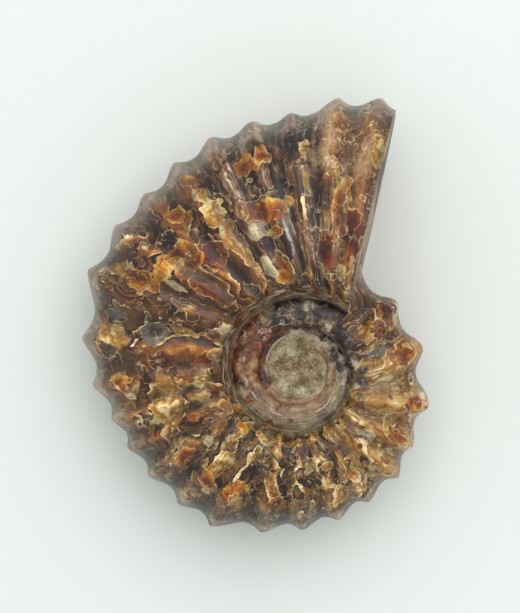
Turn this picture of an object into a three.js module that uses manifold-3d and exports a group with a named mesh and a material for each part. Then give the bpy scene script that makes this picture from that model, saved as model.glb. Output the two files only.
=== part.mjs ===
// A polished ammonite fossil of the genus Douvilleiceras, one solid of mineralised shell, lying on its side.
// Millimetres, +Z up. The origin is the middle of the base: the coil lies flat in XY, its longest side along Y.
//
// The shell is a ribbon wound round a vertical axis. Two numbers name a place on it:
//   turn    the angle wound back from the sawn mouth, in radians, 0 to 2 pi on the outer whorl and
//           2 pi to 4 pi on the inner whorl that shows in the umbilicus
//   across  0 at the umbilical seam, where a whorl leaves the one inside it, to 1 on the keel line of the venter
// The lower side is the mirror of the upper side.
import * as THREE from "three";
import { mergeVertices } from "three/addons/utils/BufferGeometryUtils.js";
import Module from "manifold-3d";

const { cos, sin, exp, hypot, sqrt, asin, PI } = Math;
const TURN = 2 * PI;
const { clamp, degToRad, lerp, smoothstep } = THREE.MathUtils;

// Coil
const COIL_RADIUS = 37.3; // crest of the ribs at the mouth
const COIL_DECAY = 0.14; // how fast that radius falls, per radian
const SEAM_RADIUS = 10.6; // umbilical seam at the mouth
const SEAM_DECAY = 0.087;
const SEAM_OVAL = { away: 0.05, side: 0.06 }; // shares by which it bulges away from the mouth and sideways
const MOUTH_BEARING = degToRad(77); // direction of the sawn mouth in XY
const MOUTH_OFFSET = 5.3; // how far the saw passed from the coil's axis

// Whorl section
const HALF_BREADTH = 13.4; // at the mouth
const BREADTH_DECAY = 0.128;
const WIDEST_AT = 0.28; // where along the whorl's height it is thickest
const WALL_BOXINESS = 0.72; // exponents of the section's two quarter arcs, 1 for an ellipse
const FLANK_BOXINESS = 0.88;
const SEAM_HEIGHT = 5.0; // height of the seam above the mid-plane, at the mouth
const CORE_HEIGHT = 2.8; // and at the flat polished core
const CORE_CENTRE = { x: -0.6, y: -0.9 }; // beside the coil's axis
const SEAM_SINK = 0.236; // how fast it goes from one to the other, per radian
const OVERLAP = 1.25; // an inner whorl reaches this much further than the seam that lies on it

// Ribs, from the mouth inwards: degrees from each crest to the next, and how far each crest grew or wore away
// from the coil's even spiral
const FIRST_CREST = 3.5;
const RIB_GAPS = [9, 10, 9, 10, 10, 10, 10, 12, 16, 12, 10, 9, 10, 12, 12, 16, 14, 14, 14, 16, 15, 21, 30, 29];
const CREST_RISES = [
  1.5, 1, -0.5, -0.3, 0, -0.2, -0.4, 0.4, 1.4, 0.7, 0, -1, -0.9, -0.8, -0.4, 0.3, -0.4, -0.5, -0.5, -0.4, -0.2,
  -0.7, -0.2, -0.2, -0.2,
];
const HIDDEN_GAPS = { before: 9, after: 29 }; // the next crests past either end of the whorl
const RIB_DEPTH = 0.19; // valley depth as a share of the local rib spacing
const VALLEY_SHARE = { seam: 0.7, keel: 1 }; // of that depth
const CREST_ROUNDING = 0.12;
const RIB_SKEW = 1.3; // over 1, each rib is steeper on the side towards the mouth
const RIBS_RISE = 0.2; // they rise from nothing at the seam to their full height here
const RIBS_FADE = 0.5; // and on the inner whorl they die out over this many radians
const TUBERCLES = [
  { across: 0.2, width: 0.06, lift: 0.45 }, // umbilical
  { across: 0.52, width: 0.05, lift: 0.3 }, // lateral
  { across: 0.73, width: 0.05, lift: 0.5 }, // ventrolateral
  { across: 0.92, width: 0.05, lift: 0.45 }, // beside the keel line
];
const KEEL_GROOVE = { width: 0.05, depth: 0.5 };
const MOUTH_FILLET = { lift: 1.1, reach: degToRad(5) }; // where the mouth meets the whorl under it

// Resting pose: the coil tapers away from the mouth, so it leans down towards that side
const LEAN_ABOUT_X = degToRad(3.7);
const LEAN_ABOUT_Y = degToRad(-4.3);
const WORN_FLAT = 0.3; // how deep the crests that it rests on are worn
const GROUND = { size: 100, depth: 10 };

// Mesh
const STEPS_PER_RIB = 5;
const ROWS = 12; // across an exposed whorl, from the seam to the keel line
const INNER_ROWS = 4; // of them that the next whorl's seam leaves showing
const ROWS_SHIFT_FROM = TURN * 0.6; // where the outer whorl's rows start to move to meet the inner whorl's
const SLOPE_STEP = 1e-3; // across, to find the section's direction
const HALVINGS = 40;
const WELD = 1e-4;

const crests = RIB_GAPS.reduce((all, gap) => [...all, all.at(-1) + gap], [FIRST_CREST]);
const allCrests = [
  crests[0] - HIDDEN_GAPS.before,
  ...crests,
  crests.at(-1) + HIDDEN_GAPS.after,
].map(degToRad);

const rises = [CREST_RISES[0], ...CREST_RISES, 0];

/** Where a turn lies between two crests, from 0 to 1, the angle between them, and the rise there. */
function ribAt(turn) {
  const found = allCrests.findIndex((crest) => crest >= turn);
  const next = found < 0 ? allCrests.length - 1 : found;
  const [a, b] = [allCrests[next - 1], allCrests[next]];
  const phase = (turn - a) / (b - a);
  return { phase, gap: b - a, rise: lerp(rises[next - 1], rises[next], Math.min(phase, 1)) };
}

const coilRadius = (turn) => COIL_RADIUS * exp(-COIL_DECAY * turn) + ribAt(turn).rise;

const seamRadius = (turn) =>
  SEAM_RADIUS *
  exp(-SEAM_DECAY * turn) *
  (1 + SEAM_OVAL.away * (1 - cos(turn)) - SEAM_OVAL.side * sin(turn));

const seamHeight = (turn) => CORE_HEIGHT + (SEAM_HEIGHT - CORE_HEIGHT) * exp(-SEAM_SINK * turn);

/** The smooth section of a whorl, before its ribs: a steep umbilical wall, then a long flank. */
function smoothSection(turn, across) {
  const seam = seamRadius(turn);
  const covered = turn > TURN ? OVERLAP * seamRadius(turn - TURN) : 0;
  const outer = Math.max(coilRadius(turn), covered);
  const middle = seam + WIDEST_AT * (outer - seam);
  const breadth = HALF_BREADTH * exp(-BREADTH_DECAY * turn);
  const low = seamHeight(turn);
  if (across < WIDEST_AT) {
    const angle = (1 - across / WIDEST_AT) * (PI / 2);
    return {
      r: middle - (middle - seam) * sin(angle) ** WALL_BOXINESS,
      z: low + (breadth - low) * Math.max(cos(angle), 0) ** WALL_BOXINESS,
    };
  }
  const angle = ((across - WIDEST_AT) / (1 - WIDEST_AT)) * (PI / 2);
  return {
    r: middle + (outer - middle) * sin(angle) ** FLANK_BOXINESS,
    z: breadth * Math.max(cos(angle), 0) ** FLANK_BOXINESS,
  };
}

const bump = (x, centre, width) => exp(-(((x - centre) / width) ** 2));

/** How far the ribs cut into or stand out of the smooth section. */
function relief(turn, across, r) {
  const { phase, gap } = ribAt(turn);
  const swung = clamp(phase, 0, 1) ** RIB_SKEW;
  const crest = 1 - sqrt(sin(PI * swung) ** 2 + CREST_ROUNDING ** 2) / hypot(1, CREST_ROUNDING);
  const strength = turn > TURN ? exp(-(turn - TURN) / RIBS_FADE) : 1;
  const rise = smoothstep(across, 0, RIBS_RISE);
  const depth = RIB_DEPTH * gap * r * rise * lerp(VALLEY_SHARE.seam, VALLEY_SHARE.keel, across);
  const tubercle = TUBERCLES.reduce((sum, t) => sum + t.lift * bump(across, t.across, t.width), 0);
  const groove = KEEL_GROOVE.depth * bump(across, 1, KEEL_GROOVE.width);
  const scale = r / COIL_RADIUS;
  const fillet = MOUTH_FILLET.lift * exp(-Math.abs(TURN - turn) / MOUTH_FILLET.reach) * across;
  return strength * (depth * (crest - 1) + (tubercle - groove) * crest * scale * rise) + fillet;
}

/** A point of the ribbed surface, as a radius from the coil's axis and a height over its mid-plane. */
function section(turn, across) {
  const here = smoothSection(turn, across);
  const before = smoothSection(turn, Math.max(across - SLOPE_STEP, 0));
  const after = smoothSection(turn, Math.min(across + SLOPE_STEP, 1));
  // The two sides mirror each other, so the section crosses the keel line straight down.
  const along = across === 1 ? { r: 0, z: -1 } : { r: after.r - before.r, z: after.z - before.z };
  const length = hypot(along.r, along.z);
  const lift = relief(turn, across, here.r);
  return { r: here.r - (along.z / length) * lift, z: here.z + (along.r / length) * lift };
}

/** The place across a covered whorl where the next whorl's seam lies on it. */
function contact(turn) {
  const target = seamRadius(turn - TURN);
  let [low, high] = [0, 1];
  for (let i = 0; i < HALVINGS; i++) {
    const middle = (low + high) / 2;
    if (section(turn, middle).r < target) low = middle;
    else high = middle;
  }
  return low;
}

/** Bearing in XY: growth lines swing towards the mouth, where they lie along the saw cut. */
function bearing(turn, r) {
  const swing = asin(MOUTH_OFFSET / Math.max(r, SEAM_RADIUS));
  return MOUTH_BEARING + turn - (swing * (1 + cos(turn))) / 2;
}

const turns = [0];
for (let rib = 0; rib < crests.length; rib++) {
  const start = degToRad(crests[rib]);
  const gap = degToRad(RIB_GAPS[rib] ?? HIDDEN_GAPS.after);
  for (let step = 0; step < STEPS_PER_RIB; step++) turns.push(start + (gap * step) / STEPS_PER_RIB);
}
turns.push(TURN);
const STEPS = turns.length - 1;

const positions = [];
const triangles = [];

function addVertex(turn, { r, z }) {
  const angle = bearing(turn, r);
  positions.push(r * cos(angle), r * sin(angle), z);
  return positions.length / 3 - 1;
}

/** Adds one side of the shell and returns its rows of vertices: side 1 is up, -1 is down. */
function addSide(side, keel) {
  const mirrored = ({ r, z }) => ({ r, z: z * side });
  const outerWhorl = [];
  const innerWhorl = [];
  const coveredTo = contact(TURN);
  turns.forEach((turn, i) => {
    const innerTurn = turn + TURN;
    const edge = contact(innerTurn);
    const seam = { r: seamRadius(turn), z: seamHeight(turn) };
    const slack = i ? seam.z - section(innerTurn, edge).z : 0;
    innerWhorl[i] = [];
    for (let row = 0; row <= INNER_ROWS; row++) {
      if (i === STEPS && row === INNER_ROWS) continue;
      const share = row / INNER_ROWS;
      const point = section(innerTurn, edge * share);
      point.z += slack * share;
      innerWhorl[i].push(addVertex(innerTurn, mirrored(point)));
    }
  });
  innerWhorl[STEPS].push(innerWhorl[0][0]);
  turns.forEach((turn, i) => {
    outerWhorl[i] = [innerWhorl[i][INNER_ROWS]];
    const blend = smoothstep(turn, ROWS_SHIFT_FROM, TURN);
    for (let row = 1; row < ROWS; row++) {
      const inner = row <= INNER_ROWS;
      const covered = inner
        ? (coveredTo * row) / INNER_ROWS
        : lerp(coveredTo, 1, (row - INNER_ROWS) / (ROWS - INNER_ROWS));
      const across = lerp(row / ROWS, covered, blend);
      outerWhorl[i].push(addVertex(turn, mirrored(section(turn, across))));
    }
    outerWhorl[i].push(keel[i]);
  });
  // The outer whorl's start is the inner whorl's end.
  for (let row = 0; row <= INNER_ROWS; row++) outerWhorl[STEPS][row] = innerWhorl[0][row];
  return { outerWhorl, innerWhorl };
}

function addTriangle(side, a, b, c) {
  if (a === b || b === c || c === a) return;
  triangles.push(...(side > 0 ? [a, b, c] : [a, c, b]));
}

function addRibbon(side, columns) {
  for (let i = 0; i + 1 < columns.length; i++) {
    for (let row = 0; row + 1 < columns[i].length; row++) {
      const [a, b] = [columns[i][row], columns[i][row + 1]];
      const [c, d] = [columns[i + 1][row + 1], columns[i + 1][row]];
      addTriangle(side, a, b, c);
      addTriangle(side, a, c, d);
    }
  }
}

/** The flat polished core closes the middle of the coil. */
function addCore(side, innerWhorl) {
  const rim = innerWhorl.map((column) => column[0]);
  rim.push(...innerWhorl[STEPS].slice(1, INNER_ROWS));
  positions.push(CORE_CENTRE.x, CORE_CENTRE.y, side * CORE_HEIGHT);
  const centre = positions.length / 3 - 1;
  rim.forEach((vertex, i) => addTriangle(side, centre, vertex, rim[(i + 1) % rim.length]));
}

/** The sawn mouth: the flat face between the last whorl's edge and the whorl that it grew over. */
function addMouth(upper, lower) {
  const mouth = [...upper.outerWhorl[0], ...lower.outerWhorl[0].slice(0, -1).reverse()];
  const under = [
    ...lower.outerWhorl[STEPS].slice(INNER_ROWS + 1),
    ...upper.outerWhorl[STEPS].slice(INNER_ROWS + 1, -1).reverse(),
  ];
  const outline = [...mouth, ...under];
  const along = new THREE.Vector2(cos(MOUTH_BEARING), sin(MOUTH_BEARING));
  const flat = outline.map((vertex) => {
    const [x, y, z] = positions.slice(3 * vertex, 3 * vertex + 3);
    return new THREE.Vector2(x * along.x + y * along.y, z);
  });
  for (const [a, b, c] of THREE.ShapeUtils.triangulateShape(flat, []))
    addTriangle(1, outline[a], outline[b], outline[c]);
}

const keel = turns.map((turn) => addVertex(turn, section(turn, 1)));
const upper = addSide(1, keel);
const lower = addSide(-1, keel);
for (const [side, { outerWhorl, innerWhorl }] of [[1, upper], [-1, lower]]) {
  addRibbon(side, outerWhorl);
  addRibbon(side, innerWhorl);
  addCore(side, innerWhorl);
}
addMouth(upper, lower);

const shell = new THREE.BufferGeometry();
shell.setAttribute("position", new THREE.Float32BufferAttribute(positions, 3));
shell.setIndex(triangles);
shell.rotateX(LEAN_ABOUT_X);
shell.rotateY(LEAN_ABOUT_Y);
shell.computeBoundingBox();
const { min, max } = shell.boundingBox;
shell.translate(-(min.x + max.x) / 2, -(min.y + max.y) / 2, -min.z - WORN_FLAT);

const wasm = await Module();
wasm.setup();

function solidOf(geometry) {
  const bare = geometry.clone();
  bare.deleteAttribute("normal");
  bare.deleteAttribute("uv");
  const merged = mergeVertices(bare, WELD);
  return new wasm.Manifold(
    new wasm.Mesh({
      numProp: 3,
      vertProperties: merged.attributes.position.array,
      triVerts: new Uint32Array(merged.index.array),
    }),
  );
}

/** Wears the crests that the fossil rests on flat, down to the surface under them. */
function wearBase(geometry) {
  const { size, depth } = GROUND;
  const ground = new THREE.BoxGeometry(size, size, depth).translate(0, 0, -depth / 2);
  const worn = solidOf(geometry).subtract(solidOf(ground)).getMesh();
  const result = new THREE.BufferGeometry();
  result.setAttribute("position", new THREE.BufferAttribute(worn.vertProperties, 3));
  result.setIndex(new THREE.BufferAttribute(worn.triVerts, 1));
  result.computeVertexNormals();
  return result;
}

const calcite = new THREE.MeshStandardMaterial({ color: 0x7a5a40, roughness: 0.25, metalness: 0 });
const ammonite = new THREE.Mesh(wearBase(shell), calcite);
ammonite.name = "ammonite";

const fossil = new THREE.Group();
fossil.add(ammonite);
export default fossil;
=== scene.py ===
"""A polished ammonite fossil of the genus Douvilleiceras, lying on its side on a pale table.

The shell is a ribbon wound round one axis. Two numbers name a place on it, as in the CAD part:

    turn    the angle wound back from the sawn mouth, in radians: 0 to 2 pi on the outer whorl, and
            2 pi to 4 pi on the inner whorl that shows in the umbilicus
    across  0 at the umbilical seam to 1 on the keel line of the outer edge

Lengths in the classes are millimetres. Meshes are in metres, in the CAD part's frame.
"""

import logging
import math
from collections.abc import Callable
from dataclasses import dataclass, field
from enum import Enum
from functools import partial

import bpy
import numpy as np
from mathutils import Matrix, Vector, noise
from mathutils.geometry import delaunay_2d_cdt


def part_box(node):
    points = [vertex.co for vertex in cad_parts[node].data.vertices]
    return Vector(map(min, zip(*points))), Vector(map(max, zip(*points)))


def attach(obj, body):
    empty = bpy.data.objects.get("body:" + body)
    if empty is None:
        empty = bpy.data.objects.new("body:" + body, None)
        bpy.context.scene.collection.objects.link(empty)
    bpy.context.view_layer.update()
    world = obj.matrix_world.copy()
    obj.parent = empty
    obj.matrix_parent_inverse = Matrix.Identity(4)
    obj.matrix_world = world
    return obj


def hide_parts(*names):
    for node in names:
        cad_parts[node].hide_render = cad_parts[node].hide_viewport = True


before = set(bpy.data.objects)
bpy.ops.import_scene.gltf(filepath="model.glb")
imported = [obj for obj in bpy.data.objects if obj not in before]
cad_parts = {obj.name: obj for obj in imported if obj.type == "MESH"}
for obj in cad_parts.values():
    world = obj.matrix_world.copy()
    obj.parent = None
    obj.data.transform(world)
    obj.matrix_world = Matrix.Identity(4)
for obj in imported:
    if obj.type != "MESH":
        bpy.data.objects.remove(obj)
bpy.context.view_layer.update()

MM = 0.001
TURN = 2 * math.pi
NODE = "ammonite"
HALVINGS = 40  # of a search by halves
SAMPLES = 4000  # round a whorl, where its length is measured
SECTION_SAMPLES = 800  # and round a section
log = logging.getLogger("ammonite")


def linear(hex_colour: str) -> tuple[float, float, float, float]:
    """Turns an sRGB hex colour into linear RGBA.

    Args:
        hex_colour: six hex digits after a #.

    Returns:
        Red, green, blue and an alpha of 1.
    """
    values = [int(hex_colour[i : i + 2], 16) / 255 for i in (1, 3, 5)]
    return (*(v / 12.92 if v <= 0.04045 else ((v + 0.055) / 1.055) ** 2.4 for v in values), 1.0)


def smoothstep(x: np.ndarray, low: float | np.ndarray, high: float | np.ndarray) -> np.ndarray:
    """Eases from 0 at low to 1 at high."""
    t = np.clip((x - low) / (high - low), 0, 1)
    return t * t * (3 - 2 * t)


def bump(x: np.ndarray, centre: float, width: float) -> np.ndarray:
    """A bell of height 1."""
    return np.exp(-(((x - centre) / width) ** 2))


@dataclass(frozen=True)
class Tubercles:
    """A row of low knobs, one on each rib."""

    across: float
    width: float
    lift: float


@dataclass
class Whorls:
    """The coiled shell's form, with the CAD part's own dimensions, in mm unless it says otherwise."""

    coil_radius: float = 37.3  # of the crest line at the mouth
    coil_decay: float = 0.14  # per radian wound back
    seam_radius: float = 10.6  # of the umbilical seam at the mouth
    seam_decay: float = 0.087
    seam_away: float = 0.05  # half of how much wider the seam runs opposite the mouth
    seam_side: float = 0.06  # and how much narrower a quarter turn back
    mouth_bearing: float = math.radians(77)
    mouth_offset: float = 5.3  # of the saw cut from the coil's axis
    half_breadth: float = 13.4  # of the whorl at the mouth
    breadth_decay: float = 0.128
    widest_at: float = 0.28  # across, where the umbilical wall meets the flank
    wall_boxiness: float = 0.72  # below 1, the section is squarer than an ellipse
    flank_boxiness: float = 0.88
    seam_height: float = 5.0  # over the middle plane, at the mouth
    core_height: float = 2.8
    core_centre: tuple[float, float] = (-0.6, -0.9)
    seam_sink: float = 0.236
    overlap: float = 1.25  # a covered whorl's least radius, in radii of the seam that lies on it
    first_crest: float = 3.5  # degrees from the mouth
    hidden_gaps: tuple[float, float] = (9, 29)  # degrees, before the first crest and after the last
    rib_depth: float = 0.19  # in rib spacings
    valley_share: tuple[float, float] = (0.7, 1.0)  # of that depth, at the seam and on the keel line
    crest_rounding: float = 0.12  # 0 is a knife edge
    rib_skew: float = 1.3  # over 1, each crest leans towards the mouth
    ribs_rise: float = 0.2  # across, where the ribs reach their full height
    ribs_fade: float = 0.5  # radians, on the inner whorl
    groove_width: float = 0.05  # of the groove along the keel line
    groove_depth: float = 0.5
    fillet_lift: float = 1.1  # on the outer edge, where the whorl goes under the mouth
    fillet_reach: float = math.radians(5)
    lean: tuple[float, float] = (math.radians(3.7), math.radians(-4.3))  # about X, then about Y
    worn_flat: float = 0.3  # worn off the crests that it rests on
    rib_gaps: tuple[float, ...] = (
        9, 10, 9, 10, 10, 10, 10, 12, 16, 12, 10, 9, 10, 12, 12, 16, 14, 14, 14, 16, 15, 21, 30, 29,
    )  # fmt: skip
    crest_rises: tuple[float, ...] = (
        1.5, 1, -0.5, -0.3, 0, -0.2, -0.4, 0.4, 1.4, 0.7, 0, -1, -0.9, -0.8, -0.4, 0.3, -0.4, -0.5,
        -0.5, -0.4, -0.2, -0.7, -0.2, -0.2, -0.2,
    )  # fmt: skip
    tubercles: tuple[Tubercles, ...] = (
        Tubercles(0.2, 0.06, 0.45),
        Tubercles(0.52, 0.05, 0.3),
        Tubercles(0.73, 0.05, 0.5),
        Tubercles(0.92, 0.05, 0.45),
    )
    crests: np.ndarray = field(init=False)
    rises: np.ndarray = field(init=False)

    def __post_init__(self) -> None:
        """Works out the crests' turns from the gaps between them."""
        seen = self.first_crest + np.concatenate([[0], np.cumsum(self.rib_gaps)])
        before, after = self.hidden_gaps
        self.crests = np.radians([seen[0] - before, *seen, seen[-1] + after])
        self.rises = np.array([self.crest_rises[0], *self.crest_rises, 0])

    def rib_at(self, turn: np.ndarray) -> tuple[np.ndarray, np.ndarray, np.ndarray, np.ndarray]:
        """Finds a turn's place among the ribs.

        Args:
            turn: angles wound back from the mouth.

        Returns:
            The phase from one crest to the next, the angle between them, the rise of the crest
            line there, and the rib number, 0 on the first crest.
        """
        after = np.clip(np.searchsorted(self.crests, turn), 1, len(self.crests) - 1)
        a, b = self.crests[after - 1], self.crests[after]
        phase = (turn - a) / (b - a)
        low, high = self.rises[after - 1], self.rises[after]
        return phase, b - a, low + (high - low) * np.minimum(phase, 1), after - 2 + phase

    def outer_radius(self, turn: np.ndarray) -> np.ndarray:
        """The coil's radius on the crest line."""
        return self.coil_radius * np.exp(-self.coil_decay * turn) + self.rib_at(turn)[2]

    def seam_at(self, turn: np.ndarray) -> tuple[np.ndarray, np.ndarray]:
        """The umbilical seam.

        Args:
            turn: angles wound back from the mouth.

        Returns:
            Its radius from the coil's axis and its height over the middle plane.
        """
        oval = 1 + self.seam_away * (1 - np.cos(turn)) - self.seam_side * np.sin(turn)
        sunk = (self.seam_height - self.core_height) * np.exp(-self.seam_sink * turn)
        return self.seam_radius * np.exp(-self.seam_decay * turn) * oval, self.core_height + sunk

    def smooth_section(self, turn: np.ndarray, across: np.ndarray) -> tuple[np.ndarray, np.ndarray]:
        """The whorl's section before its ribs: a steep umbilical wall, then a long flank.

        Args:
            turn: angles wound back from the mouth.
            across: places from the seam to the keel line.

        Returns:
            Radius from the coil's axis and height over the middle plane.
        """
        seam, low = self.seam_at(turn)
        covered = np.where(turn > TURN, self.overlap * self.seam_at(turn - TURN)[0], 0)
        outer = np.maximum(self.outer_radius(turn), covered)
        middle = seam + self.widest_at * (outer - seam)
        breadth = self.half_breadth * np.exp(-self.breadth_decay * turn)
        quarter = math.pi / 2
        wall = np.clip((1 - across / self.widest_at) * quarter, 0, quarter)
        flank = np.clip((across - self.widest_at) / (1 - self.widest_at) * quarter, 0, quarter)
        wall_r = middle - (middle - seam) * np.sin(wall) ** self.wall_boxiness
        wall_z = low + (breadth - low) * np.maximum(np.cos(wall), 0) ** self.wall_boxiness
        flank_r = middle + (outer - middle) * np.sin(flank) ** self.flank_boxiness
        flank_z = breadth * np.maximum(np.cos(flank), 0) ** self.flank_boxiness
        on_wall = across < self.widest_at
        return np.where(on_wall, wall_r, flank_r), np.where(on_wall, wall_z, flank_z)

    def crest_at(self, turn: np.ndarray) -> np.ndarray:
        """How near a turn is to a rib's crest.

        Args:
            turn: angles wound back from the mouth.

        Returns:
            1 on a crest to 0 in a valley.
        """
        phase = np.clip(self.rib_at(turn)[0], 0, 1) ** self.rib_skew
        sharp = np.sqrt(np.sin(math.pi * phase) ** 2 + self.crest_rounding**2)
        return 1 - sharp / math.hypot(1, self.crest_rounding)

    def relief(self, turn: np.ndarray, across: np.ndarray, r: np.ndarray) -> np.ndarray:
        """How far the ribs and tubercles stand out of the smooth section.

        Args:
            turn: angles wound back from the mouth.
            across: places from the seam to the keel line.
            r: the smooth section's radius there.

        Returns:
            Heights over the smooth section, below 0 in the valleys.
        """
        crest = self.crest_at(turn)
        strength = np.where(turn > TURN, np.exp(-(turn - TURN) / self.ribs_fade), 1)
        rise = smoothstep(across, 0, self.ribs_rise)
        share = self.valley_share[0] + (self.valley_share[1] - self.valley_share[0]) * across
        depth = self.rib_depth * self.rib_at(turn)[1] * r * rise * share
        knobs = sum(t.lift * bump(across, t.across, t.width) for t in self.tubercles)
        groove = self.groove_depth * bump(across, 1, self.groove_width)
        fillet = self.fillet_lift * np.exp(-np.abs(TURN - turn) / self.fillet_reach) * across
        knobbed = (knobs - groove) * crest * r / self.coil_radius * rise
        return strength * (depth * (crest - 1) + knobbed) + fillet

    def section(
        self, turn: np.ndarray, across: np.ndarray, extra: np.ndarray | float = 0.0
    ) -> tuple[np.ndarray, np.ndarray]:
        """The ribbed section.

        Args:
            turn: angles wound back from the mouth.
            across: places from the seam to the keel line, of the same shape.
            extra: further relief, out of the surface.

        Returns:
            Radius from the coil's axis and height over the middle plane.
        """
        step = 1e-3
        r, z = self.smooth_section(turn, across)
        r0, z0 = self.smooth_section(turn, np.maximum(across - step, 0))
        r1, z1 = self.smooth_section(turn, np.minimum(across + step, 1))
        keel = across >= 1
        along_r, along_z = np.where(keel, 0, r1 - r0), np.where(keel, -1, z1 - z0)
        length = np.hypot(along_r, along_z)
        lift = self.relief(turn, across, r) + extra
        return r - along_z / length * lift, z + along_r / length * lift

    def contact(self, turn: np.ndarray) -> np.ndarray:
        """Finds where the next whorl's seam lies on a covered whorl.

        Args:
            turn: angles wound back from the mouth, all on the covered whorl.

        Returns:
            Places across it.
        """
        target = self.seam_at(turn - TURN)[0]
        low, high = np.zeros_like(turn), np.ones_like(turn)
        for _ in range(HALVINGS):
            middle = (low + high) / 2
            inside = self.section(turn, middle)[0] < target
            low, high = np.where(inside, middle, low), np.where(inside, high, middle)
        return low

    def points(self, turn: np.ndarray, r: np.ndarray, z: np.ndarray) -> np.ndarray:
        """Places a section's points round the axis, swung towards the mouth as growth lines are.

        Args:
            turn: angles wound back from the mouth.
            r: radii from the coil's axis.
            z: heights over the middle plane.

        Returns:
            The points, with x, y and z last.
        """
        swing = np.arcsin(self.mouth_offset / np.maximum(r, self.seam_radius))
        bearing = self.mouth_bearing + turn - swing * (1 + np.cos(turn)) / 2
        return np.stack([r * np.cos(bearing), r * np.sin(bearing), z], -1)

    def laid_down(self, points: np.ndarray) -> np.ndarray:
        """Leans the upright coil over to its resting pose.

        Args:
            points: places in the upright coil's frame.

        Returns:
            The same in the frame of the table.
        """
        cx, sx = math.cos(self.lean[0]), math.sin(self.lean[0])
        cy, sy = math.cos(self.lean[1]), math.sin(self.lean[1])
        about_x = np.array([[1, 0, 0], [0, cx, -sx], [0, sx, cx]])
        about_y = np.array([[cy, 0, sy], [0, 1, 0], [-sy, 0, cy]])
        return points @ (about_y @ about_x).T


class Layer(Enum):
    """The shell layers and fillings that polishing has laid bare, as channels of two attributes."""

    AMBER = ("marks_a", 0)
    TAN = ("marks_a", 1)
    WHITE = ("marks_a", 2)
    DARK = ("marks_b", 0)
    RUSSET = ("marks_b", 1)
    SLATE = ("marks_b", 2)


@dataclass(frozen=True)
class Patch:
    """A place where one layer shows: its middle and half sizes, in ribs and in shares across."""

    layer: Layer
    rib: float
    across: float
    half_ribs: float
    half_across: float


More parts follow.
